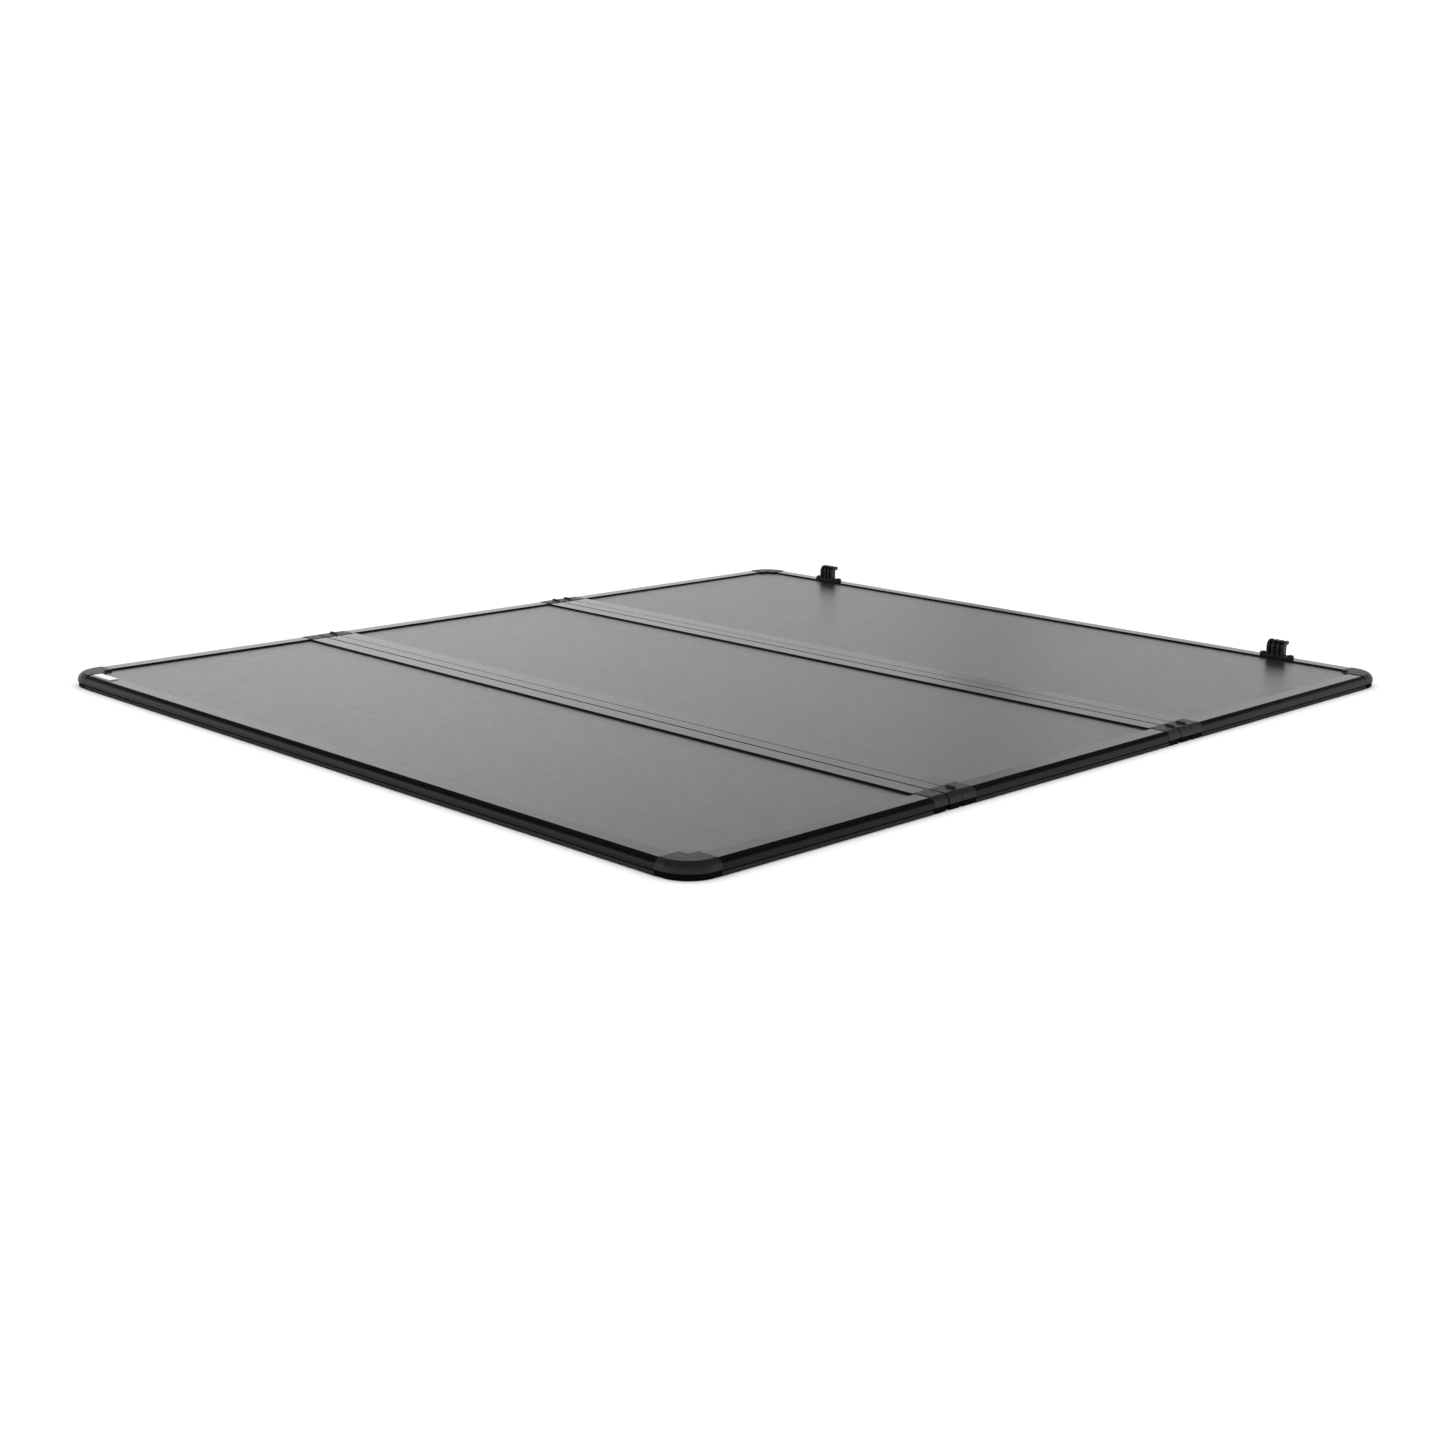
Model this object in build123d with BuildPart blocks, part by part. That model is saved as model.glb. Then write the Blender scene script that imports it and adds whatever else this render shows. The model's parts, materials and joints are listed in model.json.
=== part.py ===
from build123d import *
import os
from math import acos, cos, pi, sin

# Hard tri-fold tonneau cover, closed and flat.
# +X is the passenger side, +Y the cab end, +Z up. The origin is under the middle of the cover,
# on the plane of the seals that rest on the bed rails. All lengths are in millimetres.

# ---------------------------------------------------------------- driving dimensions
WIDTH = 1563.0              # over the two side rails
TAILGATE_SPAN = 517.0       # tailgate edge to the first seam
REAR_LINK_PITCH = 30.0      # between the two seams of the rear hinge
MIDDLE_SPAN = 564.5         # between the hinges
FRONT_LINK_PITCH = 32.0     # between the two pivots of the front hinge
CAB_SPAN = 640.5            # last seam to the cab edge
LENGTH = TAILGATE_SPAN + REAR_LINK_PITCH + MIDDLE_SPAN + FRONT_LINK_PITCH + CAB_SPAN

FLANGE_TOP = 23.5           # top of the rails, which clamp down on the skins
SKIN_TOP = 20.5             # top of the textured skins
LINER_BOTTOM = 10.0         # underside of the panels
SKIN_T = 1.2
LINER_T = 0.8

SHOULDER_IN = 10.0          # flat top of a rail ends here, and its outer face curves down
SHOULDER_R = 14.0           # curve of the outer face, upright where it ends
FLANGE_IN = 35.0            # inner edge of the side and end rails' top flange
HINGE_FLANGE_A = 32.0       # top flange on the tailgate side of a hinge
HINGE_FLANGE_C = 36.0       # top flange on the cab side of a hinge
HINGE_WALL = 3.0
HINGE_LEG = 0.5             # seam wall below the lower flange
HINGE_LIP = 24.0            # lower flange of a hinge rail
LOWER_FLANGE_T = 2.0
LOWER_FLANGE_IN = 30.0
WALL_BOTTOM = 9.0           # lower edge of the outer faces
RAIL_WALL = 9.0             # outer face to the channel that holds the sandwich
EDGE_ROOM = 9.5             # outer face to the edge of the sandwich
HINGE_ROOM = 3.4            # seam face to the edge of the sandwich

SEAM_GAP = 3.0              # open seam, tailgate side of a link
TIGHT_GAP = 1.0             # closed seam, cab side of a link
RAIL_GAP = 1.2              # side rail to the first cap of a hinge
CORNER_GAP = 0.5            # rail to a corner cap
CAP_BLOCK = 39.0            # width of the hinge end caps, across the cover
CAP_LENGTH = 31.0           # length of the outer hinge end caps, along the cover
CAP_PROUD = 0.8             # hinge end caps above the rails

PIVOT_RISE = 1.5            # pivot axes above the rails
EAR_R = 2.5
PIN_R = 1.25
PIN_FIT = 0.05
EAR_ROOM = 0.5              # clearance around an ear

CORNER_X = 60.0             # corner cap along the end rail
CORNER_Y = 63.0             # corner cap along the side rail
CORNER_ARM = 44.0           # arm width, on top
CORNER_LOWER_ARM = 30.0     # arm width, underneath
CORNER_R = 51.0             # outer corner, seen from above
CORNER_PROUD = 1.0
CORNER_SEAL_BACK = 1.5      # rubber corner behind the outer face of its cap
CORNER_SEAL_IN = 25.0
SEAL_CHAMFER = 1.5
FOOT_TOP = 6.5              # underside of all end and corner caps
LIP_IN = 7.0                # rubber under the caps stands higher along their outer faces
LIP_TOP = 9.5

LEG_OUTER = 2.4             # leg under a rail, which holds the seal
LEG_INNER = 4.5
LEG_BOTTOM = 3.5
SEAL_OUTER = 0.3
SEAL_INNER = 15.0
SEAL_TOP = 6.5
SEAL_ROUND = 2.5

# ---------------------------------------------------------------- places worked out from them
HALF_W = WIDTH / 2
Y_TAILGATE = -LENGTH / 2
Y_CAB = LENGTH / 2
Y_REAR_OPEN = Y_TAILGATE + TAILGATE_SPAN            # rear hinge, tailgate panel | link
Y_REAR_TIGHT = Y_REAR_OPEN + REAR_LINK_PITCH        # rear hinge, link | middle panel
Y_FRONT_OPEN = Y_REAR_TIGHT + MIDDLE_SPAN           # front hinge, middle panel | link
Y_FRONT_TIGHT = Y_FRONT_OPEN + FRONT_LINK_PITCH     # front hinge, link | cab panel
PIVOT_Z = FLANGE_TOP + PIVOT_RISE
CAP_TOP = FLANGE_TOP + CAP_PROUD
SHOULDER_TURN = acos(1 - SHOULDER_IN / SHOULDER_R)
SHOULDER_FOOT = FLANGE_TOP - SHOULDER_R * sin(SHOULDER_TURN)    # where the outer face is upright
HINGE_BOTTOM = LINER_BOTTOM - LOWER_FLANGE_T - HINGE_LEG
OPEN_HALF = SEAM_GAP / 2
TIGHT_HALF = TIGHT_GAP / 2

SIDES = (("left", -1), ("right", 1))
ENDS = (("tailgate", -1), ("cab", 1))

os.makedirs("parts", exist_ok=True)


def save(piece, label):
    """Label a finished piece and write its own STEP file."""
    piece.part.label = label
    export_step(piece.part, f"parts/{label}.step")


# ---------------------------------------------------------------- profiles
def edge_rail_face(side, edge):
    """C-shaped rail: top flange, curved outer face, lower flange and the leg that holds the seal."""

    def at(inward, height):
        return (side * (edge - inward), height)

    with BuildLine() as outline:
        Polyline(
            at(SHOULDER_IN, FLANGE_TOP),
            at(FLANGE_IN, FLANGE_TOP),
            at(FLANGE_IN, SKIN_TOP),
            at(RAIL_WALL, SKIN_TOP),
            at(RAIL_WALL, LINER_BOTTOM),
            at(LOWER_FLANGE_IN, LINER_BOTTOM),
            at(LOWER_FLANGE_IN, LINER_BOTTOM - LOWER_FLANGE_T),
            at(LEG_INNER, LINER_BOTTOM - LOWER_FLANGE_T),
            at(LEG_INNER, LEG_BOTTOM),
            at(LEG_OUTER, LEG_BOTTOM),
            at(LEG_OUTER, WALL_BOTTOM),
            at(0.0, WALL_BOTTOM),
            at(0.0, SHOULDER_FOOT),
        )
        ThreePointArc(
            at(0.0, SHOULDER_FOOT),
            at(SHOULDER_R * (1 - cos(SHOULDER_TURN / 2)), SHOULDER_FOOT + SHOULDER_R * sin(SHOULDER_TURN / 2)),
            at(SHOULDER_IN, FLANGE_TOP),
        )
    make_face(outline.edges())


def edge_seal_face(side, edge):
    """Bulb seal under a rail, pushed up over the rail's leg."""
    closed_face([
        (side * (edge - inward), height)
        for inward, height in (
            (SEAL_OUTER, SEAL_TOP),
            (LEG_OUTER, SEAL_TOP),
            (LEG_OUTER, LEG_BOTTOM),
            (LEG_INNER, LEG_BOTTOM),
            (LEG_INNER, LINER_BOTTOM - LOWER_FLANGE_T),
            (SEAL_INNER, LINER_BOTTOM - LOWER_FLANGE_T),
            (SEAL_INNER, 0.0),
            (SEAL_OUTER, 0.0),
        )
    ])


def hinge_rail_points(face, direction, flange):
    """Rail along a seam; face is the seam face and direction points into its panel."""
    profile = [
        (0.0, FLANGE_TOP),
        (flange, FLANGE_TOP),
        (flange, SKIN_TOP),
        (HINGE_WALL, SKIN_TOP),
        (HINGE_WALL, LINER_BOTTOM),
        (HINGE_LIP, LINER_BOTTOM),
        (HINGE_LIP, LINER_BOTTOM - LOWER_FLANGE_T),
        (HINGE_WALL, LINER_BOTTOM - LOWER_FLANGE_T),
        (HINGE_WALL, HINGE_BOTTOM),
        (0.0, HINGE_BOTTOM),
    ]
    return [(face + direction * inward, height) for inward, height in profile]


def closed_face(points):
    """Draw a closed outline in the sketch that is open."""
    with BuildLine() as outline:
        Polyline(*points, close=True)
    make_face(outline.edges())


def corner_section(side, edge):
    """Section through an arm of a corner cap: a rail's outer face, standing proud of the rails."""

    def at(inward, height):
        return (side * (edge - inward), height)

    foot = SHOULDER_FOOT + CORNER_PROUD
    with BuildLine() as outline:
        Polyline(
            at(SHOULDER_IN, FLANGE_TOP + CORNER_PROUD),
            at(CORNER_ARM, FLANGE_TOP + CORNER_PROUD),
            at(CORNER_ARM, SKIN_TOP),
            at(EDGE_ROOM, SKIN_TOP),
            at(EDGE_ROOM, LINER_BOTTOM),
            at(CORNER_LOWER_ARM, LINER_BOTTOM),
            at(CORNER_LOWER_ARM, FOOT_TOP),
            at(LIP_IN, FOOT_TOP),
            at(LIP_IN, LIP_TOP),
            at(0.0, LIP_TOP),
            at(0.0, foot),
        )
        ThreePointArc(
            at(0.0, foot),
            at(SHOULDER_R * (1 - cos(SHOULDER_TURN / 2)), foot + SHOULDER_R * sin(SHOULDER_TURN / 2)),
            at(SHOULDER_IN, FLANGE_TOP + CORNER_PROUD),
        )
    make_face(outline.edges())


def corner_seal_section(side, edge):
    """Section through an arm of a rubber corner, with its lip outside the cap's lower flange."""
    closed_face([
        (side * (edge - inward), height)
        for inward, height in (
            (CORNER_SEAL_BACK + SEAL_CHAMFER, 0.0),
            (CORNER_SEAL_IN, 0.0),
            (CORNER_SEAL_IN, FOOT_TOP),
            (LIP_IN, FOOT_TOP),
            (LIP_IN, LIP_TOP),
            (CORNER_SEAL_BACK, LIP_TOP),
            (CORNER_SEAL_BACK, SEAL_CHAMFER),
        )
    ])


def sweep_corner(section, side, end):
    """Run a section along both arms of a corner and round its bend."""
    x_bend = side * (HALF_W - CORNER_R)
    y_bend = end * (LENGTH / 2 - CORNER_R)
    with BuildSketch(Plane.XZ.offset(-y_bend)) as along_side:
        section(side, HALF_W)
    extrude(along_side.sketch, amount=end * (CORNER_Y - CORNER_R))
    revolve(
        along_side.sketch,
        axis=Axis((x_bend, y_bend, 0), (0, 0, side * end)),
        revolution_arc=90,
    )
    with BuildSketch(Plane.YZ.offset(x_bend)) as along_end:
        section(end, LENGTH / 2)
    extrude(along_end.sketch, amount=-side * (CORNER_X - CORNER_R))


# ---------------------------------------------------------------- sandwich panels
PANELS = {
    # name: (low y, high y, room at the low edge, room at the high edge)
    "tailgate": (Y_TAILGATE, Y_REAR_OPEN - OPEN_HALF, EDGE_ROOM, HINGE_ROOM),
    "middle": (Y_REAR_TIGHT + TIGHT_HALF, Y_FRONT_OPEN - OPEN_HALF, HINGE_ROOM, HINGE_ROOM),
    "cab": (Y_FRONT_TIGHT + TIGHT_HALF, Y_CAB, HINGE_ROOM, EDGE_ROOM),
}
LAYERS = {
    # name: (bottom, top)
    "liner": (LINER_BOTTOM, LINER_BOTTOM + LINER_T),
    "core": (LINER_BOTTOM + LINER_T, SKIN_TOP - SKIN_T),
    "skin": (SKIN_TOP - SKIN_T, SKIN_TOP),
}
for panel, (y_low, y_high, room_low, room_high) in PANELS.items():
    for layer, (bottom, top) in LAYERS.items():
        with BuildPart() as sheet:
            with BuildSketch(Plane.XY.offset(bottom)):
                low = y_low + room_low
                high = y_high - room_high
                with Locations((0, (low + high) / 2)):
                    Rectangle(2 * (HALF_W - EDGE_ROOM), high - low)
            extrude(amount=top - bottom)
            upright = sheet.edges().filter_by(Axis.Z).group_by(Axis.Y)
            if panel == "tailgate":
                fillet(upright[0], CORNER_R - EDGE_ROOM)
            if panel == "cab":
                fillet(upright[-1], CORNER_R - EDGE_ROOM)
        save(sheet, f"{panel}_{layer}")

# ---------------------------------------------------------------- rails and their seals
SIDE_RUNS = {
    # name: (low y, high y) of the side rails, between the caps
    "tailgate": (Y_TAILGATE + CORNER_Y + CORNER_GAP, Y_REAR_OPEN - OPEN_HALF - CAP_LENGTH - RAIL_GAP),
    "middle": (
        Y_REAR_TIGHT + TIGHT_HALF + CAP_LENGTH + CORNER_GAP,
        Y_FRONT_OPEN - OPEN_HALF - CAP_LENGTH - RAIL_GAP,
    ),
    "cab": (Y_FRONT_TIGHT + TIGHT_HALF + CAP_LENGTH + CORNER_GAP, Y_CAB - CORNER_Y - CORNER_GAP),
}
for panel, (y_low, y_high) in SIDE_RUNS.items():
    for side_name, side in SIDES:
        with BuildPart() as side_rail:
            with BuildSketch(Plane.XZ.offset(-y_high)):
                edge_rail_face(side, HALF_W)
            extrude(amount=y_high - y_low)
        save(side_rail, f"{panel}_side_rail_{side_name}")
    with BuildPart() as side_seals:
        for side_name, side in SIDES:
            with BuildSketch(Plane.XZ.offset(-y_high)):
                edge_seal_face(side, HALF_W)
            extrude(amount=y_high - y_low)
        fillet(side_seals.edges().filter_by(Axis.Y).group_by(Axis.Z)[0], SEAL_ROUND)
    save(side_seals, f"{panel}_side_seals")

HOOK_X = 572.0              # middle of each strap hook from the centre line
HOOK_SCREW_X = 28.5         # hook screws from the middle of a hook
HOOK_SCREW_R = 2.2
Y_HOOK_BACK = Y_CAB - 27.5  # face of the hooks toward the tailgate
Y_HOOK_SCREW = Y_HOOK_BACK + 9.0
END_RUN = HALF_W - CORNER_X - CORNER_GAP
for end_name, end in ENDS:
    with BuildPart() as end_rail:
        with BuildSketch(Plane.YZ.offset(-END_RUN)):
            edge_rail_face(end, LENGTH / 2)
        extrude(amount=2 * END_RUN)
        if end_name == "cab":
            with Locations(Plane.XY.offset(FLANGE_TOP)):
                for hook in (-HOOK_X, HOOK_X):
                    for screw in (-HOOK_SCREW_X, HOOK_SCREW_X):
                        with Locations((hook + screw, Y_HOOK_SCREW)):
                            Hole(HOOK_SCREW_R, depth=FLANGE_TOP - SKIN_TOP)
    save(end_rail, f"{end_name}_end_rail")
    with BuildPart() as end_seal:
        with BuildSketch(Plane.YZ.offset(-END_RUN)):
            edge_seal_face(end, LENGTH / 2)
        extrude(amount=2 * END_RUN)
        fillet(end_seal.edges().filter_by(Axis.X).group_by(Axis.Z)[0], SEAL_ROUND)
    save(end_seal, f"{end_name}_end_seal")

HINGE_RUN = HALF_W - CAP_BLOCK
HINGE_EDGE_R = 0.5
HINGE_RAILS = {
    # name: (seam face, direction into the panel, flange width)
    "tailgate_hinge_rail": (Y_REAR_OPEN - OPEN_HALF, -1, HINGE_FLANGE_A),
    "middle_rear_hinge_rail": (Y_REAR_TIGHT + TIGHT_HALF, 1, HINGE_FLANGE_C),
    "middle_front_hinge_rail": (Y_FRONT_OPEN - OPEN_HALF, -1, HINGE_FLANGE_A),
    "cab_hinge_rail": (Y_FRONT_TIGHT + TIGHT_HALF, 1, HINGE_FLANGE_C),
}
for label, (face, direction, flange) in HINGE_RAILS.items():
    with BuildPart() as hinge_rail:
        with BuildSketch(Plane.YZ.offset(-HINGE_RUN)):
            closed_face(hinge_rail_points(face, direction, flange))
        extrude(amount=2 * HINGE_RUN)
        fillet(hinge_rail.edges().filter_by(Axis.X).group_by(Axis.Z)[-1], HINGE_EDGE_R)
    save(hinge_rail, label)

# ---------------------------------------------------------------- link rails and seam gaskets
LINK_WALL = 2.5
LINKS = {
    # name: (y of the open seam, y of the tight seam)
    "rear_link": (Y_REAR_OPEN, Y_REAR_TIGHT),
    "front_link": (Y_FRONT_OPEN, Y_FRONT_TIGHT),
}
GASKET_LIP = 8.0            # gasket under the neighbouring rail
GASKET_T = 4.5
GASKET_ROOM = 0.4
GASKET_LIP_T = 2.0
GASKET_SLOPE = 4.0
for link, (y_open, y_tight) in LINKS.items():
    low = y_open + OPEN_HALF
    high = y_tight - TIGHT_HALF
    with BuildPart() as link_rail:
        with BuildSketch(Plane.YZ.offset(-HINGE_RUN)):
            with Locations(((low + high) / 2, (HINGE_BOTTOM + FLANGE_TOP) / 2)):
                Rectangle(high - low, FLANGE_TOP - HINGE_BOTTOM)
                Rectangle(
                    high - low - 2 * LINK_WALL,
                    FLANGE_TOP - HINGE_BOTTOM - 2 * LINK_WALL,
                    mode=Mode.SUBTRACT,
                )
        extrude(amount=2 * HINGE_RUN)
        fillet(link_rail.edges().filter_by(Axis.X).group_by(Axis.Z)[-1], HINGE_EDGE_R)
    save(link_rail, f"{link}_rail")

    # Rubber under the link; its lips run below both neighbours and lift away with the link.
    lip_top = HINGE_BOTTOM - GASKET_ROOM
    with BuildPart() as gasket:
        with BuildSketch(Plane.YZ.offset(-HINGE_RUN)):
            closed_face([
                (low, HINGE_BOTTOM),
                (high, HINGE_BOTTOM),
                (high, lip_top),
                (y_tight + GASKET_LIP, lip_top),
                (y_tight + GASKET_LIP, lip_top - GASKET_LIP_T),
                (high - GASKET_SLOPE, HINGE_BOTTOM - GASKET_T),
                (low + GASKET_SLOPE, HINGE_BOTTOM - GASKET_T),
                (y_open - GASKET_LIP, lip_top - GASKET_LIP_T),
                (y_open - GASKET_LIP, lip_top),
                (low, lip_top),
            ])
        extrude(amount=2 * HINGE_RUN)
    save(gasket, f"{link}_gasket")

# ---------------------------------------------------------------- hinge end caps, feet and pins
EAR_OUTER = (12.0, 17.0)    # ears of the fixed cap, from the side of the cover
EAR_INNER = (25.0, 30.0)
EAR_MIDDLE = (17.3, 24.7)   # ear of the moving cap
EAR_SIDE_ROOM = 0.3
WEB_W = 2.4
WEB_H = 3.5
SLOT_DEPTH = 60.0
SLOT_PAST = 1.0             # slot beyond the end of its block
PLUG_ROOM = 0.4             # link plug inside the hollow link rail, over both sides
PLUG_DEPTH = 25.0
BLOCK_EDGE_R = 0.6


def cylinder_along_x(side, span, y, radius, mode=Mode.ADD):
    """Round bar along X between two distances from the side of the cover."""
    near, far = span
    with BuildSketch(Plane.YZ.offset(side * (HALF_W - far))) as section:
        with Locations((y, PIVOT_Z)):
            Circle(radius)
    extrude(section.sketch, amount=side * (far - near), mode=mode)


def cap_body(side, low, high):
    """Block at the end of a hinge rail, with the curved outer face of the side rails."""

    def at(inward, height):
        return (side * (HALF_W - inward), height)

    foot = SHOULDER_FOOT + CAP_PROUD
    with BuildSketch(Plane.XZ.offset(-high)) as section:
        with BuildLine() as outline:
            Polyline(
                at(SHOULDER_IN, CAP_TOP),
                at(CAP_BLOCK, CAP_TOP),
                at(CAP_BLOCK, FOOT_TOP),
                at(LIP_IN, FOOT_TOP),
                at(LIP_IN, LIP_TOP),
                at(0.0, LIP_TOP),
                at(0.0, foot),
            )
            ThreePointArc(
                at(0.0, foot),
                at(SHOULDER_R * (1 - cos(SHOULDER_TURN / 2)), foot + SHOULDER_R * sin(SHOULDER_TURN / 2)),
                at(SHOULDER_IN, CAP_TOP),
            )
        make_face(outline.edges())
    extrude(section.sketch, amount=high - low)


def cap_slot(side, low, high):
    """Slot that holds the corner of a panel's sandwich."""
    with BuildSketch(Plane.XY.offset(LINER_BOTTOM)) as plan:
        with Locations((side * (HALF_W - EDGE_ROOM - SLOT_DEPTH / 2), (low + high) / 2)):
            Rectangle(SLOT_DEPTH, high - low)
    extrude(plan.sketch, amount=SKIN_TOP - LINER_BOTTOM, mode=Mode.SUBTRACT)


def link_plug(side, low, high):
    """Plug that fills the end of the hollow link rail."""
    with BuildSketch(Plane.YZ.offset(side * (HALF_W - CAP_BLOCK))) as section:
        with Locations(((low + high) / 2, (HINGE_BOTTOM + FLANGE_TOP) / 2)):
            Rectangle(
                high - low - 2 * LINK_WALL - PLUG_ROOM,
                FLANGE_TOP - HINGE_BOTTOM - 2 * LINK_WALL - PLUG_ROOM,
            )
    extrude(section.sketch, amount=-side * PLUG_DEPTH)


def ear(side, span, y, direction):
    """Round ear over a pivot, with a web down into its own block, which lies in that direction."""
    near, far = span
    cylinder_along_x(side, span, y, EAR_R)
    with BuildSketch(Plane.YZ.offset(side * (HALF_W - far))) as section:
        with Locations((y + direction * WEB_W / 2, PIVOT_Z - WEB_H / 2 - CAP_PROUD / 2)):
            Rectangle(WEB_W, WEB_H)
    extrude(section.sketch, amount=side * (far - near))


def fixed_ears(side, y, direction):
    """Two ears that hold the pin, with room between them for the moving ear."""
    room = (EAR_MIDDLE[0] - EAR_SIDE_ROOM, EAR_MIDDLE[1] + EAR_SIDE_ROOM)
    cylinder_along_x(side, room, y, EAR_R + EAR_ROOM, Mode.SUBTRACT)
    ear(side, EAR_OUTER, y, direction)
    ear(side, EAR_INNER, y, direction)
    cylinder_along_x(side, (EAR_OUTER[0], EAR_INNER[1]), y, PIN_R, Mode.SUBTRACT)


def moving_ear(side, y, direction):
    """One ear that turns on the pin, with room beside it for the fixed ears."""
    for near, far in (EAR_OUTER, EAR_INNER):
        room = (near - EAR_SIDE_ROOM, far + EAR_SIDE_ROOM)
        cylinder_along_x(side, room, y, EAR_R + EAR_ROOM, Mode.SUBTRACT)
    ear(side, EAR_MIDDLE, y, direction)
    cylinder_along_x(side, (EAR_OUTER[0], EAR_INNER[1]), y, PIN_R + PIN_FIT, Mode.SUBTRACT)


CAPS = {
    # name: (low y, high y, fixed ears, moving ears, direction of the sandwich slot)
    # an ear is given by the y of its pivot and the direction in which its block lies
    "tailgate_hinge_caps": (
        Y_REAR_OPEN - OPEN_HALF - CAP_LENGTH, Y_REAR_OPEN - OPEN_HALF, (), (), -1),
    "rear_link_caps": (
        Y_REAR_OPEN + OPEN_HALF, Y_REAR_TIGHT - TIGHT_HALF, (), ((Y_REAR_TIGHT, -1),), 0),
    "middle_rear_hinge_caps": (
        Y_REAR_TIGHT + TIGHT_HALF, Y_REAR_TIGHT + TIGHT_HALF + CAP_LENGTH,
        ((Y_REAR_TIGHT, 1),), (), 1),
    "middle_front_hinge_caps": (
        Y_FRONT_OPEN - OPEN_HALF - CAP_LENGTH, Y_FRONT_OPEN - OPEN_HALF,
        ((Y_FRONT_OPEN, -1),), (), -1),
    "front_link_caps": (
        Y_FRONT_OPEN + OPEN_HALF, Y_FRONT_TIGHT - TIGHT_HALF,
        (), ((Y_FRONT_OPEN, 1), (Y_FRONT_TIGHT, -1)), 0),
    "cab_hinge_caps": (
        Y_FRONT_TIGHT + TIGHT_HALF, Y_FRONT_TIGHT + TIGHT_HALF + CAP_LENGTH,
        ((Y_FRONT_TIGHT, 1),), (), 1),
}
for label, (low, high, fixed, moving, slot) in CAPS.items():
    with BuildPart() as caps:
        for side_name, side in SIDES:
            cap_body(side, low, high)
        fillet(caps.faces().group_by(Axis.Z)[-1].edges().filter_by(Axis.X), BLOCK_EDGE_R)
        for side_name, side in SIDES:
            if slot < 0:
                cap_slot(side, low - SLOT_PAST, high - HINGE_ROOM)
            if slot > 0:
                cap_slot(side, low + HINGE_ROOM, high + SLOT_PAST)
            if slot == 0:
                link_plug(side, low, high)
            for y, direction in fixed:
                fixed_ears(side, y, direction)
            for y, direction in moving:
                moving_ear(side, y, direction)
    save(caps, label)

FEET = {
    "tailgate_hinge_feet": ("tailgate_hinge_caps", "rear_link_caps"),
    "middle_hinge_feet": ("middle_rear_hinge_caps", "middle_front_hinge_caps"),
    "front_link_feet": ("front_link_caps",),
    "cab_hinge_feet": ("cab_hinge_caps",),
}
FOOT_OUTER = 1.6            # outer face of a foot, from the side of the cover
FOOT_INNER = 18.0
FOOT_SHORT = 1.6            # a foot is shorter than its cap by this at each end
FOOT_CORNER_R = 3.0
FOOT_CHAMFER = 0.8
for label, cap_names in FEET.items():
    with BuildPart() as feet:
        for cap_name in cap_names:
            low, high = CAPS[cap_name][:2]
            for side_name, side in SIDES:
                with BuildSketch(Plane.XY):
                    with Locations((side * (HALF_W - (FOOT_OUTER + FOOT_INNER) / 2), (low + high) / 2)):
                        RectangleRounded(FOOT_INNER - FOOT_OUTER, high - low - 2 * FOOT_SHORT, FOOT_CORNER_R)
                extrude(amount=FOOT_TOP)
                with BuildSketch(Plane.XY.offset(FOOT_TOP)):
                    with Locations((side * (HALF_W - (FOOT_OUTER + LIP_IN) / 2), (low + high) / 2)):
                        Rectangle(LIP_IN - FOOT_OUTER, high - low - 2 * (FOOT_SHORT + FOOT_CORNER_R))
                extrude(amount=LIP_TOP - FOOT_TOP)
        chamfer(feet.edges().group_by(Axis.Z)[0], FOOT_CHAMFER)
    save(feet, label)

PINS = {
    "middle_hinge_pins": (Y_REAR_TIGHT, Y_FRONT_OPEN),
    "cab_hinge_pins": (Y_FRONT_TIGHT,),
}
for label, pivots in PINS.items():
    with BuildPart() as pins:
        for y in pivots:
            for side_name, side in SIDES:
                cylinder_along_x(side, (EAR_OUTER[0], EAR_INNER[1]), y, PIN_R)
    save(pins, label)

# ---------------------------------------------------------------- corner caps and rubber corners
CAP_RIM = 0.8
for end_name, end in ENDS:
    for side_name, side in SIDES:
        with BuildPart() as corner_cap:
            sweep_corner(corner_section, side, end)
            fillet(corner_cap.faces().sort_by(Axis.Z)[-1].outer_wire().edges(), CAP_RIM)
        save(corner_cap, f"corner_cap_{end_name}_{side_name}")
    with BuildPart() as corner_seals:
        for side_name, side in SIDES:
            sweep_corner(corner_seal_section, side, end)
    save(corner_seals, f"corner_seals_{end_name}")

# ---------------------------------------------------------------- strap hooks on the cab rail
HOOK_BASE = (68.0, 18.0)    # base plate, across and along the cover
HOOK_BASE_T = 3.2
HOOK_BASE_R = 6.0
HOOK_BOSS_R = 6.5
HOOK_BOSS_T = 5.5
HOOK_BODY = 36.5
HOOK_HEIGHT = 31.0
HOOK_WAIST = 10.5           # thickness of the upright part
HOOK_REACH = 18.5           # back of the hook to its tip
HOOK_TIP_T = 7.0
HOOK_BEND = 12.0
HOOK_THROAT_R = 3.0
HOOK_RIBS = 4
HOOK_RIB_W = 5.6
HOOK_VALLEY = 3.5           # depth of the grooves between the ribs
HOOK_TIP_CHAMFER = 1.0


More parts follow.
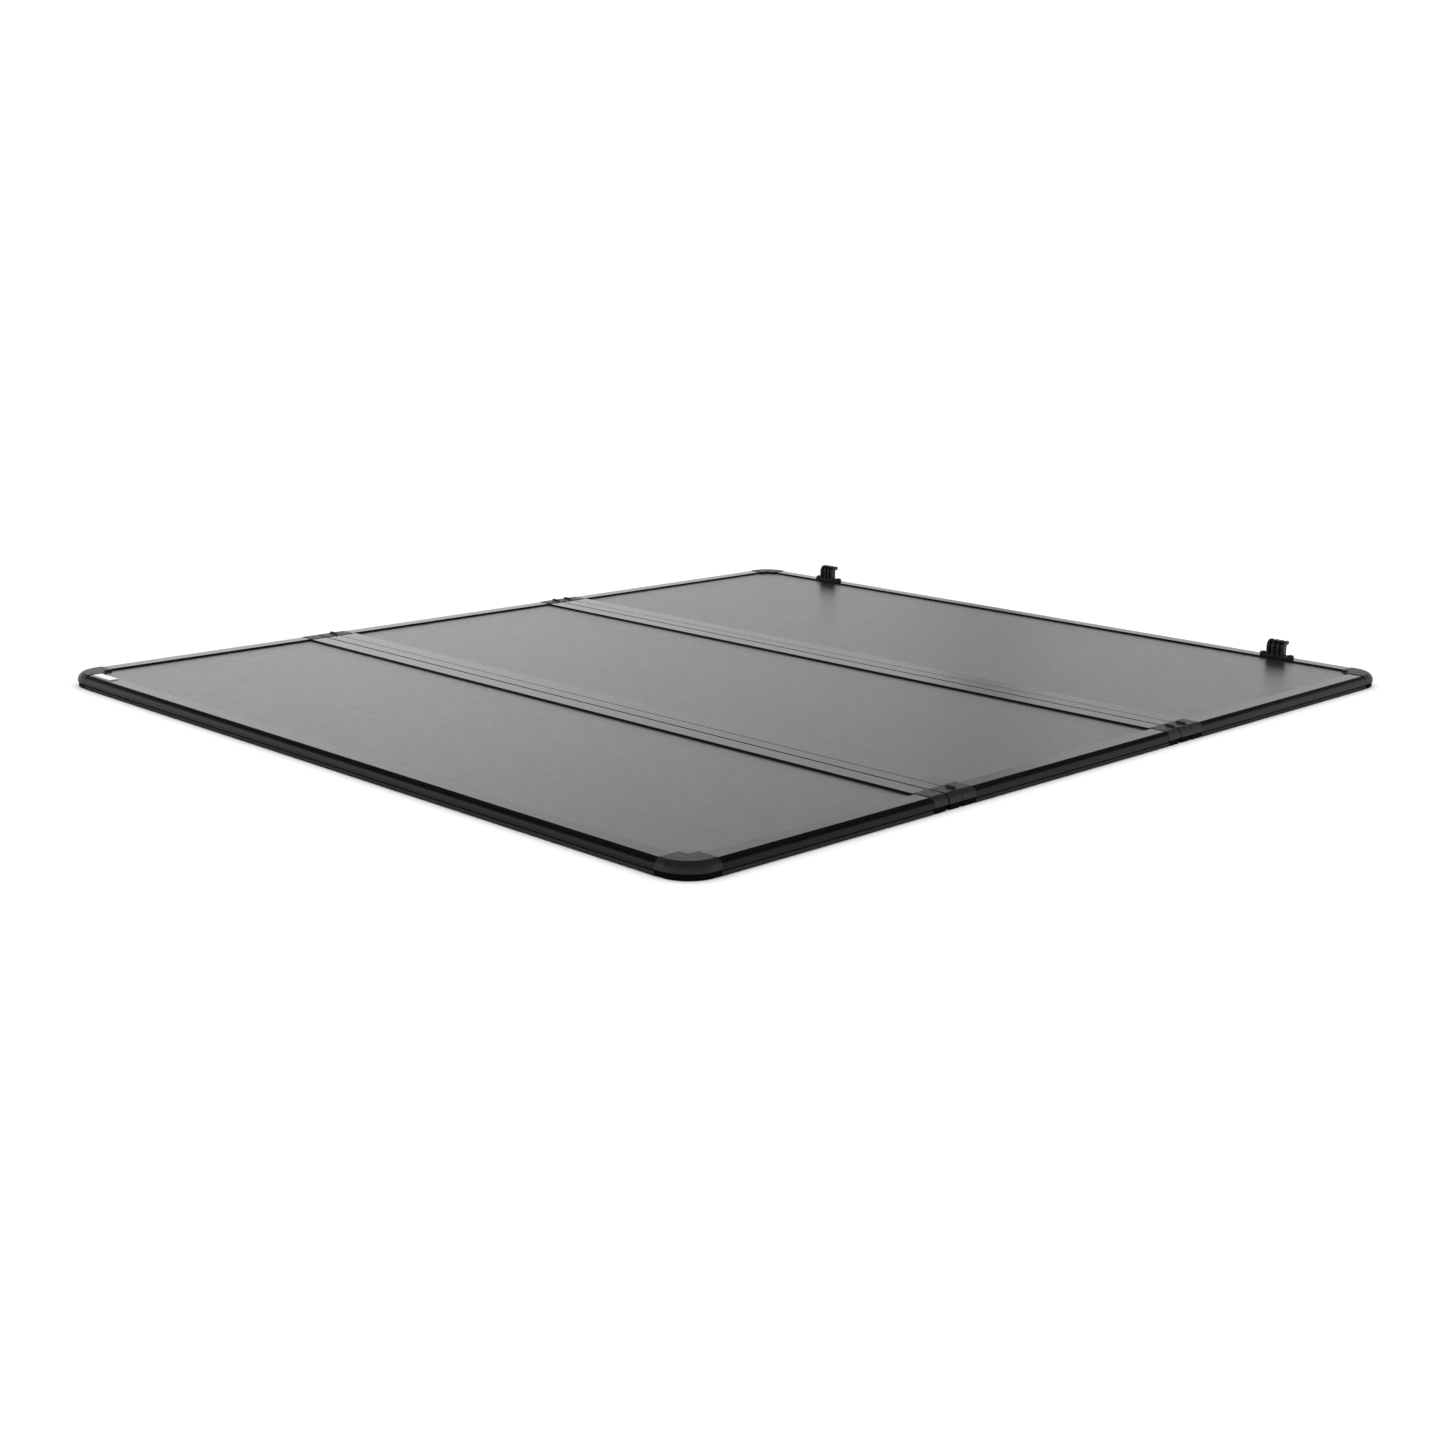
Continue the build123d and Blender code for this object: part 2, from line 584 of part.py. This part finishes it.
def hook_section(drop):
    """C section that opens toward the cab; drop thins its back and top."""
    back = Y_HOOK_BACK + drop
    front = Y_HOOK_BACK + HOOK_REACH
    top = FLANGE_TOP + HOOK_HEIGHT - drop
    floor = FLANGE_TOP + HOOK_BASE_T
    throat = Y_HOOK_BACK + HOOK_WAIST
    tip = FLANGE_TOP + HOOK_HEIGHT - HOOK_TIP_T
    bend = HOOK_BEND - drop
    inner = HOOK_THROAT_R
    skew = 1 - cos(pi / 4)
    with BuildLine() as outline:
        Polyline(
            (back, top - bend),
            (back, FLANGE_TOP),
            (throat + inner, FLANGE_TOP),
            (throat + inner, floor),
        )
        ThreePointArc(
            (throat + inner, floor),
            (throat + inner * skew, floor + inner * skew),
            (throat, floor + inner),
        )
        Line((throat, floor + inner), (throat, tip - inner))
        ThreePointArc(
            (throat, tip - inner),
            (throat + inner * skew, tip - inner * skew),
            (throat + inner, tip),
        )
        Polyline(
            (throat + inner, tip),
            (front, tip),
            (front, top - HOOK_TIP_CHAMFER),
            (front - HOOK_TIP_CHAMFER, top),
            (back + bend, top),
        )
        ThreePointArc(
            (back + bend, top),
            (back + bend * skew, top - bend * skew),
            (back, top - bend),
        )
    make_face(outline.edges())


SCREW_HEAD_R = 3.8
SCREW_HEAD_T = 2.4
SCREW_SEAT = 1.6            # depth of the screw heads in the bosses
HEAD_ROOM = 0.2             # screw head to the edge of its seat
SHANK_ROOM = 0.1            # screw shank to its hole
TIP_ROOM = 0.2              # tip of a screw to the skin
for side_name, side in SIDES:
    centre = side * HOOK_X
    screws = ((centre - HOOK_SCREW_X, Y_HOOK_SCREW), (centre + HOOK_SCREW_X, Y_HOOK_SCREW))
    with BuildPart() as hook:
        with BuildSketch(Plane.XY.offset(FLANGE_TOP)):
            with Locations((centre, Y_HOOK_BACK + HOOK_BASE[1] / 2)):
                RectangleRounded(HOOK_BASE[0], HOOK_BASE[1], HOOK_BASE_R)
        extrude(amount=HOOK_BASE_T)
        with BuildSketch(Plane.XY.offset(FLANGE_TOP)):
            with Locations(*screws):
                Circle(HOOK_BOSS_R)
        extrude(amount=HOOK_BOSS_T)
        with BuildSketch(Plane.YZ.offset(centre - HOOK_BODY / 2)):
            hook_section(HOOK_VALLEY)
        extrude(amount=HOOK_BODY)
        pitch = (HOOK_BODY - HOOK_RIB_W) / (HOOK_RIBS - 1)
        for rib in range(HOOK_RIBS):
            with BuildSketch(Plane.YZ.offset(centre - HOOK_BODY / 2 + rib * pitch)):
                hook_section(0.0)
            extrude(amount=HOOK_RIB_W)
        with Locations(Plane.XY.offset(FLANGE_TOP + HOOK_BOSS_T)):
            with Locations(*screws):
                CounterBoreHole(HOOK_SCREW_R, SCREW_HEAD_R + HEAD_ROOM, SCREW_SEAT, depth=HOOK_BOSS_T)
    save(hook, f"strap_hook_{side_name}")

SCREW_TIP = SKIN_TOP + TIP_ROOM
SCREW_RIM = 0.8             # solid part of the head, under its socket
SOCKET_R = 1.8
with BuildPart() as hook_screws:
    seat = FLANGE_TOP + HOOK_BOSS_T - SCREW_SEAT
    for centre in (-HOOK_X, HOOK_X):
        for offset_x in (-HOOK_SCREW_X, HOOK_SCREW_X):
            place = (centre + offset_x, Y_HOOK_SCREW)
            with BuildSketch(Plane.XY.offset(SCREW_TIP)):
                with Locations(place):
                    Circle(HOOK_SCREW_R - SHANK_ROOM)
            extrude(amount=seat - SCREW_TIP)
            with BuildSketch(Plane.XY.offset(seat)):
                with Locations(place):
                    Circle(SCREW_HEAD_R)
            extrude(amount=SCREW_HEAD_T)
            with BuildSketch(Plane.XY.offset(seat + SCREW_RIM)):
                with Locations(place):
                    RegularPolygon(SOCKET_R, 6)
            extrude(amount=SCREW_HEAD_T - SCREW_RIM, mode=Mode.SUBTRACT)
save(hook_screws, "hook_screws")

# ---------------------------------------------------------------- blank badge plate
BADGE = (58.0, 18.0, 1.6)
BADGE_R = 1.5
BADGE_EDGE = 0.5
BADGE_X = -686.0
BADGE_IN = 22.5             # middle of the badge from the tailgate edge
with BuildPart() as badge:
    with BuildSketch(Plane.XY.offset(FLANGE_TOP)):
        with Locations((BADGE_X, Y_TAILGATE + BADGE_IN)):
            RectangleRounded(BADGE[0], BADGE[1], BADGE_R)
    extrude(amount=BADGE[2])
    chamfer(badge.faces().sort_by(Axis.Z)[-1].edges(), BADGE_EDGE)
save(badge, "badge_plate")

# ---------------------------------------------------------------- clamps stowed under the cab panel
CLAMP_IN = 71.0             # bolt axis from the side of the cover
Y_CLAMP = Y_CAB - 170.0     # pivot of the swing bolt
CLAMP_Z = 4.5
PLATE = (46.0, 34.0, 2.0)
PLATE_R = 4.0
PLATE_HOLES = (35.0, 22.0)
PLATE_HOLE_R = 2.2
CHEEK_T = 2.5
CHEEK_R = 3.6
CHEEK_W = 14.0
CHEEK_ROOM = 0.3            # cheek to the eye of the bolt
CLAMP_PIN_R = 1.7
PIN_HEAD_R = 2.8
PIN_HEAD_T = 1.2
EYE_R = 3.2
EYE_W = 14.0
BOLT_R = 2.6
BOLT_TIP = 0.8
BOLT_REACH = 88.0           # pivot to the tip of the swing bolt
JAW_FROM = 58.0             # pivot to the near face of the jaw
JAW_T = 8.0
JAW_H = 8.2
JAW_R = 2.0
JAW_BACK = 9.0              # jaw inboard of the bolt
JAW_TIP = 30.0              # jaw outboard of the bolt, under the truck's bed rail
NUT_R = 4.1
NUT_T = 14.0
NUT_ROOM = 0.1              # nut to jaw
NUT_GRIPS = 12
NUT_GRIP_R = 0.6
NUT_GRIP_OUT = 0.25         # middle of the grip grooves beyond the nut
CLAMP_FIT = 0.05
PLATE_BOTTOM = LINER_BOTTOM - PLATE[2]

with BuildPart() as brackets:
    for side_name, side in SIDES:
        x = side * (HALF_W - CLAMP_IN)
        with BuildSketch(Plane.XY.offset(PLATE_BOTTOM)):
            with Locations((x, Y_CLAMP)):
                RectangleRounded(PLATE[0], PLATE[1], PLATE_R)
                with GridLocations(PLATE_HOLES[0], PLATE_HOLES[1], 2, 2):
                    Circle(PLATE_HOLE_R, mode=Mode.SUBTRACT)
        extrude(amount=PLATE[2])
        for cheek in (-1, 1):
            inner = x + cheek * (EYE_W / 2 + CHEEK_ROOM)
            with BuildSketch(Plane.YZ.offset(inner)):
                with Locations((Y_CLAMP, (CLAMP_Z + PLATE_BOTTOM) / 2)):
                    Rectangle(CHEEK_W, PLATE_BOTTOM - CLAMP_Z)
                with Locations((Y_CLAMP, CLAMP_Z)):
                    Circle(CHEEK_R)
                    Circle(CLAMP_PIN_R, mode=Mode.SUBTRACT)
            extrude(amount=cheek * CHEEK_T)
save(brackets, "clamp_brackets")

with BuildPart() as clamp_pins:
    for side_name, side in SIDES:
        x = side * (HALF_W - CLAMP_IN)
        half = EYE_W / 2 + CHEEK_ROOM + CHEEK_T
        with BuildSketch(Plane.YZ.offset(x - half)):
            with Locations((Y_CLAMP, CLAMP_Z)):
                Circle(CLAMP_PIN_R)
        extrude(amount=2 * half)
        for cheek in (-1, 1):
            with BuildSketch(Plane.YZ.offset(x + cheek * half)):
                with Locations((Y_CLAMP, CLAMP_Z)):
                    Circle(PIN_HEAD_R)
            extrude(amount=cheek * PIN_HEAD_T)
save(clamp_pins, "clamp_pins")

for side_name, side in SIDES:
    x = side * (HALF_W - CLAMP_IN)
    with BuildPart() as bolt:
        with BuildSketch(Plane.YZ.offset(x - EYE_W / 2)):
            with Locations((Y_CLAMP, CLAMP_Z)):
                Circle(EYE_R)
        extrude(amount=EYE_W)
        with BuildSketch(Plane.XZ.offset(-Y_CLAMP)):
            with Locations((x, CLAMP_Z)):
                Circle(BOLT_R)
        extrude(amount=BOLT_REACH)
        chamfer(bolt.faces().sort_by(Axis.Y)[0].edges(), BOLT_TIP)
        with BuildSketch(Plane.YZ.offset(x - EYE_W / 2)):
            with Locations((Y_CLAMP, CLAMP_Z)):
                Circle(CLAMP_PIN_R + CLAMP_FIT)
        extrude(amount=EYE_W, mode=Mode.SUBTRACT)
    save(bolt, f"clamp_bolt_{side_name}")

    with BuildPart() as jaw:
        with BuildSketch(Plane.XZ.offset(JAW_FROM - Y_CLAMP)):
            with Locations((x + side * (JAW_TIP - JAW_BACK) / 2, CLAMP_Z)):
                RectangleRounded(JAW_TIP + JAW_BACK, JAW_H, JAW_R)
            with Locations((x, CLAMP_Z)):
                Circle(BOLT_R + CLAMP_FIT, mode=Mode.SUBTRACT)
        extrude(amount=JAW_T)
    save(jaw, f"clamp_jaw_{side_name}")

    with BuildPart() as nut:
        with BuildSketch(Plane.XZ.offset(JAW_FROM + JAW_T + NUT_ROOM - Y_CLAMP)):
            with Locations((x, CLAMP_Z)):
                Circle(NUT_R)
                Circle(BOLT_R + CLAMP_FIT, mode=Mode.SUBTRACT)
                with PolarLocations(NUT_R + NUT_GRIP_OUT, NUT_GRIPS):
                    Circle(NUT_GRIP_R, mode=Mode.SUBTRACT)
        extrude(amount=NUT_T)
    save(nut, f"clamp_nut_{side_name}")
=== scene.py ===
import json
from math import cos, radians, sin

import bpy
from mathutils import Matrix, Vector


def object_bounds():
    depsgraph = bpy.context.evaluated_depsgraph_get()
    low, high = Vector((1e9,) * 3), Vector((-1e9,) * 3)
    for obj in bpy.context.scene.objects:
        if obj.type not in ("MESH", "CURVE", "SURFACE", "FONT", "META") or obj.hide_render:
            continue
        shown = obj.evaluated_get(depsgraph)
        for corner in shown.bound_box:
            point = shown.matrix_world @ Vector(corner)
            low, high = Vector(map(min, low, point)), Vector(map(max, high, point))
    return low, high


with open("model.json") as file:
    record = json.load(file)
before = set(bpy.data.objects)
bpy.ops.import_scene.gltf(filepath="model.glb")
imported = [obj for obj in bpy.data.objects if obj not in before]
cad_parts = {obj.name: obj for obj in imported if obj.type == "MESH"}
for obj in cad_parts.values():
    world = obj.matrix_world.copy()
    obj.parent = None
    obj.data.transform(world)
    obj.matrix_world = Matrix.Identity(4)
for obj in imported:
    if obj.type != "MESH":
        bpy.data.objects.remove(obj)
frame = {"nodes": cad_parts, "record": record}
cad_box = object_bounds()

# Looks of a hard tri-fold tonneau cover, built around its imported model. Lengths are in metres.
MM = 0.001

# ---------------------------------------------------------------- camera and studio
AIM = Vector((-8.4, -33.9, -66.8)) * MM
AZIMUTH = radians(44.643)       # 0 looks along +Y, 90 along -X
ELEVATION = radians(13.403)
ROLL = radians(0.919)
DISTANCE = 3714.7 * MM
SENSOR = 36.0                   # millimetres, as Blender gives sensors and lenses
LENS = 51.482

# Light that falls on everything, and the studio as glossy faces mirror it: pale low down, brighter
# to one side, dim overhead, with a dim gap in the pale part
WORLD_LIGHT = 1.20
MIRRORED_LOW = 1.27
MIRRORED_SIDE = 1.72
MIRRORED_ABOVE = 0.10
DIM_FROM = sin(radians(17))     # heights in the sky, as the sine of the elevation
DIM_TO = sin(radians(31))
SIDE_FROM = radians(40)         # azimuths, as for the camera
SIDE_TO = radians(56)
GAP_AT = radians(37.2)
GAP_HALF = radians(2.2)
GAP_LIGHT = 0.62                # share of the light that is left in the middle of the gap
WHITE = (1, 1, 1, 1)

FLOOR_DROP = 0.3 * MM           # gap between the seals and the floor
FLOOR_SIZE = 120.0              # so wide that its edge is lost in the white world
FLOOR_PAINT = (0.95, 0.95, 0.95, 1)
FLOOR_ROUGHNESS = 0.9
FLOOR_SPECULAR = 0.0


def add_camera():
    """The camera looks at AIM from the tailgate end and the passenger side, with a slight roll."""
    level_part = cos(ELEVATION)
    forward = Vector((-sin(AZIMUTH) * level_part, cos(AZIMUTH) * level_part, -sin(ELEVATION)))
    level = forward.cross(Vector((0, 0, 1))).normalized()
    above = level.cross(forward)
    right = cos(ROLL) * level + sin(ROLL) * above
    up = right.cross(forward)
    data = bpy.data.cameras.new("photo_camera")
    data.sensor_width = SENSOR
    data.lens = LENS
    data.clip_end = 2 * FLOOR_SIZE
    camera = bpy.data.objects.new("photo_camera", data)
    bpy.context.scene.collection.objects.link(camera)
    turn = Matrix((right, up, -forward)).transposed().to_4x4()
    camera.matrix_world = Matrix.Translation(AIM - forward * DISTANCE) @ turn
    bpy.context.scene.camera = camera


def add_floor():
    """A pale floor just under the seals."""
    mesh = bpy.data.meshes.new("studio_floor")
    half = FLOOR_SIZE / 2
    low = cad_box[0][2] - FLOOR_DROP
    corners = [(-half, -half, low), (half, -half, low), (half, half, low), (-half, half, low)]
    mesh.from_pydata(corners, [], [(0, 1, 2, 3)])
    floor = bpy.data.objects.new("studio_floor", mesh)
    bpy.context.scene.collection.objects.link(floor)
    paint = bpy.data.materials.new("floor_paint")
    paint.use_nodes = True
    shader = paint.node_tree.nodes["Principled BSDF"]
    shader.inputs["Base Color"].default_value = FLOOR_PAINT
    shader.inputs["Roughness"].default_value = FLOOR_ROUGHNESS
    shader.inputs["Specular IOR Level"].default_value = FLOOR_SPECULAR
    mesh.materials.append(paint)


def add_world():
    """An even white world that lights the scene, and the studio that its glossy faces mirror."""
    world = bpy.data.worlds.new("studio")
    world.use_nodes = True
    nodes = world.node_tree.nodes
    links = world.node_tree.links

    def maths(operation, *values):
        """One step of arithmetic on sockets and plain numbers."""
        node = nodes.new("ShaderNodeMath")
        node.operation = operation
        for socket, value in zip(node.inputs, values):
            if isinstance(value, (int, float)):
                socket.default_value = value
            else:
                links.new(value, socket)
        return node.outputs["Value"]

    def ramp(value, start, end, low, high):
        """A smooth step from low at start to high at end."""
        node = nodes.new("ShaderNodeMapRange")
        node.interpolation_type = "SMOOTHSTEP"
        sockets = ("From Min", "From Max", "To Min", "To Max")
        for socket, number in zip(sockets, (start, end, low, high)):
            node.inputs[socket].default_value = number
        links.new(value, node.inputs["Value"])
        return node.outputs["Result"]

    ways = nodes.new("ShaderNodeSeparateXYZ")
    links.new(nodes.new("ShaderNodeTexCoord").outputs["Generated"], ways.inputs["Vector"])
    azimuth = maths("ARCTAN2", maths("MULTIPLY", ways.outputs["X"], -1), ways.outputs["Y"])
    low = ramp(azimuth, SIDE_FROM, SIDE_TO, MIRRORED_LOW, MIRRORED_SIDE)
    from_gap = maths("ABSOLUTE", maths("SUBTRACT", azimuth, GAP_AT))
    gap = ramp(from_gap, 0, GAP_HALF, GAP_LIGHT, 1)
    above = ramp(ways.outputs["Z"], DIM_FROM, DIM_TO, 0, 1)
    mirrored = nodes.new("ShaderNodeMix")
    links.new(above, mirrored.inputs["Factor"])
    links.new(maths("MULTIPLY", low, gap), mirrored.inputs["A"])
    mirrored.inputs["B"].default_value = MIRRORED_ABOVE
    light = nodes.new("ShaderNodeMix")
    links.new(nodes.new("ShaderNodeLightPath").outputs["Is Glossy Ray"], light.inputs["Factor"])
    light.inputs["A"].default_value = WORLD_LIGHT
    links.new(mirrored.outputs["Result"], light.inputs["B"])
    background = nodes["Background"]
    background.inputs["Color"].default_value = WHITE
    links.new(light.outputs["Result"], background.inputs["Strength"])
    bpy.context.scene.world = world
    bpy.context.scene.view_settings.view_transform = "Standard"


# ---------------------------------------------------------------- materials
class Finish:
    """One procedural material, with its texture read in the frame of the piece that wears it.

    Sizes and depths are in metres. A texture is mapped from the middle part of its range, LOW to
    HIGH, unless a finish says otherwise.
    """

    LOW = 0.3
    HIGH = 0.7

    def __init__(self, name):
        self.material = bpy.data.materials.new(name)
        self.material.use_nodes = True
        self.nodes = self.material.node_tree.nodes
        self.links = self.material.node_tree.links
        self.shader = self.nodes["Principled BSDF"]
        self.place = self.nodes.new("ShaderNodeTexCoord").outputs["Object"]

    def constant(self, **values):
        """Set shader sockets to one value all over; an underscore stands for a space."""
        for socket, value in values.items():
            self.shader.inputs[socket.replace("_", " ")].default_value = value

    def noise(self, size, detail=2.0, rough=0.5, stretch=None):
        """Noise whose features are about size across, before its space is scaled by stretch."""
        place = self.place
        if stretch:
            mapping = self.nodes.new("ShaderNodeMapping")
            mapping.inputs["Scale"].default_value = stretch
            self.links.new(place, mapping.inputs["Vector"])
            place = mapping.outputs["Vector"]
        node = self.nodes.new("ShaderNodeTexNoise")
        node.inputs["Scale"].default_value = 1 / size
        node.inputs["Detail"].default_value = detail
        node.inputs["Roughness"].default_value = rough
        self.links.new(place, node.inputs["Vector"])
        return node.outputs["Fac"]

    def cells(self, size, feature="SMOOTH_F1"):
        """Cells about size across, low in their middles; F1 gives them sharp edges."""
        node = self.nodes.new("ShaderNodeTexVoronoi")
        node.feature = feature
        node.inputs["Scale"].default_value = 1 / size
        self.links.new(self.place, node.inputs["Vector"])
        return node.outputs["Distance"]

    def layer(self, base, finer, weight):
        """Lay weight times a finer texture over a base."""
        node = self.nodes.new("ShaderNodeMath")
        node.operation = "MULTIPLY_ADD"
        self.links.new(finer, node.inputs[0])
        node.inputs[1].default_value = weight
        self.links.new(base, node.inputs[2])
        return node.outputs["Value"]

    def spread(self, texture, start, end, from_low=LOW, from_high=HIGH):
        """Map a texture onto start to end."""
        node = self.nodes.new("ShaderNodeMapRange")
        node.inputs["From Min"].default_value = from_low
        node.inputs["From Max"].default_value = from_high
        node.inputs["To Min"].default_value = start
        node.inputs["To Max"].default_value = end
        self.links.new(texture, node.inputs["Value"])
        return node.outputs["Result"]

    def colour(self, texture, dark, pale, from_low=LOW, from_high=HIGH):
        """Colour the surface from dark to pale by a texture."""
        node = self.nodes.new("ShaderNodeMix")
        node.data_type = "RGBA"
        node.inputs["A"].default_value = (*dark, 1)
        node.inputs["B"].default_value = (*pale, 1)
        self.links.new(self.spread(texture, 0, 1, from_low, from_high), node.inputs["Factor"])
        self.links.new(node.outputs["Result"], self.shader.inputs["Base Color"])

    def roughness(self, texture, smooth, rough):
        """Vary the roughness from smooth to rough by a texture."""
        self.links.new(self.spread(texture, smooth, rough), self.shader.inputs["Roughness"])

    def bump(self, texture, depth):
        """Raise the surface by the texture times depth."""
        node = self.nodes.new("ShaderNodeBump")
        node.inputs["Distance"].default_value = depth
        self.links.new(texture, node.inputs["Height"])
        self.links.new(node.outputs["Normal"], self.shader.inputs["Normal"])


def textured_skin():
    """Black coated sheet with a pebbled finish."""
    finish = Finish("textured_skin")
    patches = finish.noise(6 * MM, detail=3.0)
    finish.colour(patches, dark=(0.006, 0.006, 0.0065), pale=(0.010, 0.010, 0.0105))
    finish.roughness(finish.noise(14 * MM, detail=3.0), smooth=0.30, rough=0.33)
    pebbles = finish.cells(2.4 * MM)
    grain = finish.noise(0.9 * MM)
    finish.bump(finish.layer(pebbles, grain, weight=0.35), depth=0.06 * MM)
    return finish


def powder_coat():
    """Black powder coat of the rails, smoother than the skins."""
    finish = Finish("powder_coat")
    patches = finish.noise(9 * MM, detail=3.0)
    finish.colour(patches, dark=(0.0015, 0.0015, 0.0018), pale=(0.0035, 0.0035, 0.0038))
    finish.roughness(finish.noise(16 * MM, detail=3.0), smooth=0.11, rough=0.16)
    finish.constant(IOR=1.7, Specular_IOR_Level=0.07)
    finish.bump(finish.noise(1.1 * MM), depth=0.012 * MM)
    return finish


def liner_sheet():
    """Dark embossed sheet under the panels."""
    finish = Finish("liner_sheet")
    patches = finish.noise(3 * MM, detail=4.0)
    finish.colour(patches, dark=(0.020, 0.020, 0.022), pale=(0.032, 0.032, 0.034))
    finish.roughness(finish.noise(20 * MM, detail=3.0), smooth=0.50, rough=0.62)
    finish.bump(finish.cells(1.6 * MM), depth=0.06 * MM)
    return finish


def foam_core():
    """Pale foam inside the panels."""
    finish = Finish("foam_core")
    cells = finish.cells(1.5 * MM, "F1")
    finish.colour(
        cells, dark=(0.55, 0.54, 0.50), pale=(0.70, 0.69, 0.65), from_low=0.1, from_high=0.6
    )
    finish.roughness(finish.noise(6 * MM), smooth=0.85, rough=0.95)
    finish.bump(cells, depth=0.3 * MM)
    return finish


def cap_plastic():
    """Black moulded plastic of the corner and hinge caps, with a fine grain."""
    finish = Finish("cap_plastic")
    patches = finish.noise(12 * MM, detail=3.0)
    finish.colour(patches, dark=(0.007, 0.007, 0.0075), pale=(0.012, 0.012, 0.0125))
    finish.roughness(finish.noise(8 * MM, detail=3.0), smooth=0.40, rough=0.47)
    finish.constant(Specular_IOR_Level=0.18)
    finish.bump(finish.noise(0.5 * MM, detail=3.0, rough=0.6), depth=0.04 * MM)
    return finish


def hook_plastic():
    """Blacker, slightly glossier plastic of the strap hooks."""
    finish = Finish("hook_plastic")
    patches = finish.noise(9 * MM, detail=3.0)
    finish.colour(patches, dark=(0.0015, 0.0015, 0.002), pale=(0.004, 0.004, 0.0045))
    finish.roughness(finish.noise(7 * MM, detail=3.0), smooth=0.34, rough=0.44)
    finish.constant(Specular_IOR_Level=0.30)
    finish.bump(finish.noise(0.6 * MM, detail=3.0, rough=0.6), depth=0.03 * MM)
    return finish


def rubber_seal():
    """Extruded rubber under the rails."""
    finish = Finish("rubber_seal")
    patches = finish.noise(5 * MM, detail=4.0)
    finish.colour(patches, dark=(0.011, 0.011, 0.011), pale=(0.018, 0.018, 0.018))
    finish.roughness(finish.noise(10 * MM, detail=3.0), smooth=0.70, rough=0.82)
    finish.constant(Specular_IOR_Level=0.15)
    finish.bump(finish.noise(0.8 * MM, detail=3.0), depth=0.05 * MM)
    return finish


def rubber_in_painted_shade():
    """Copy of the seal rubber made far blacker, painted shade for the corner seals and feet."""
    finish = Finish("rubber_in_painted_shade")
    patches = finish.noise(4 * MM, detail=4.0)
    # Painted shade: a near-black colour in place of the seal rubber's own colour.
    finish.colour(patches, dark=(0.0005, 0.0005, 0.0005), pale=(0.0015, 0.0015, 0.0015))
    finish.roughness(finish.noise(8 * MM, detail=3.0), smooth=0.78, rough=0.90)
    finish.constant(Specular_IOR_Level=0.05)
    finish.bump(finish.noise(0.8 * MM, detail=3.0), depth=0.05 * MM)
    return finish


def steel_pin():
    """Bright steel with fine turning marks round X, the axis of the pins."""
    finish = Finish("steel_pin")
    finish.constant(Metallic=1.0)
    turned = finish.noise(0.4 * MM, stretch=(1.0, 0.05, 0.05))
    finish.colour(turned, dark=(0.42, 0.42, 0.43), pale=(0.56, 0.56, 0.57))
    finish.roughness(turned, smooth=0.24, rough=0.38)
    finish.bump(turned, depth=0.01 * MM)
    return finish


def black_screw():
    """Blackened steel of the screws."""
    finish = Finish("black_screw")
    finish.constant(Metallic=0.8)
    patches = finish.noise(1.5 * MM, detail=3.0)
    finish.colour(patches, dark=(0.018, 0.018, 0.020), pale=(0.035, 0.034, 0.034))
    finish.roughness(finish.noise(1.2 * MM, detail=3.0), smooth=0.32, rough=0.48)
    finish.bump(finish.noise(0.3 * MM), depth=0.01 * MM)
    return finish


def clamp_steel():
    """Black coated steel of the clamps."""
    finish = Finish("clamp_steel")
    finish.constant(Metallic=0.6)
    patches = finish.noise(5 * MM, detail=3.0)
    finish.colour(patches, dark=(0.020, 0.020, 0.022), pale=(0.040, 0.040, 0.042))
    finish.roughness(finish.noise(3 * MM, detail=3.0), smooth=0.34, rough=0.48)
    finish.bump(finish.noise(0.5 * MM, detail=3.0), depth=0.02 * MM)
    return finish


def clamp_zinc():
    """Zinc plate with its spangle."""
    finish = Finish("clamp_zinc")
    finish.constant(Metallic=1.0)
    spangle = finish.cells(2.2 * MM, "F1")
    finish.colour(
        spangle, dark=(0.52, 0.53, 0.55), pale=(0.64, 0.64, 0.63), from_low=0.1, from_high=0.7
    )
    finish.roughness(finish.noise(2.5 * MM, detail=3.0), smooth=0.26, rough=0.42)
    finish.bump(finish.noise(0.4 * MM), depth=0.008 * MM)
    return finish


def badge_metal():
    """Brushed bright metal of the badge, with its strokes along X."""
    finish = Finish("badge_metal")
    finish.constant(Metallic=1.0)
    brushed = finish.noise(0.5 * MM, detail=3.0, stretch=(0.03, 1.0, 1.0))
    finish.colour(brushed, dark=(0.50, 0.50, 0.51), pale=(0.66, 0.66, 0.67))
    finish.roughness(brushed, smooth=0.22, rough=0.34)
    finish.bump(brushed, depth=0.006 * MM)
    return finish


# Each of these is named after the slot in the record that it dresses
FINISHES = {
    build.__name__: build
    for build in (
        textured_skin, powder_coat, liner_sheet, foam_core, cap_plastic, hook_plastic,
        rubber_seal, steel_pin, black_screw, clamp_steel, clamp_zinc, badge_metal,
    )
}


def dress_nodes():
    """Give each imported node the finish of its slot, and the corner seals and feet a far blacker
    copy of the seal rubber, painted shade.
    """
    made = {slot: build().material for slot, build in FINISHES.items()}
    shaded_rubber_copy = rubber_in_painted_shade().material
    for subpart in frame["record"]["subparts"]:
        node = subpart["node"]
        slots = frame["nodes"][node].data.materials
        slots.clear()
        # The corner seals and feet wear painted shade: a darker copy of the rubber of their slot.
        gets_painted_shade = node.startswith("corner_seals") or node.endswith("feet")
        slots.append(shaded_rubber_copy if gets_painted_shade else made[subpart["material_slot"]])


add_camera()
add_floor()
add_world()
dress_nodes()
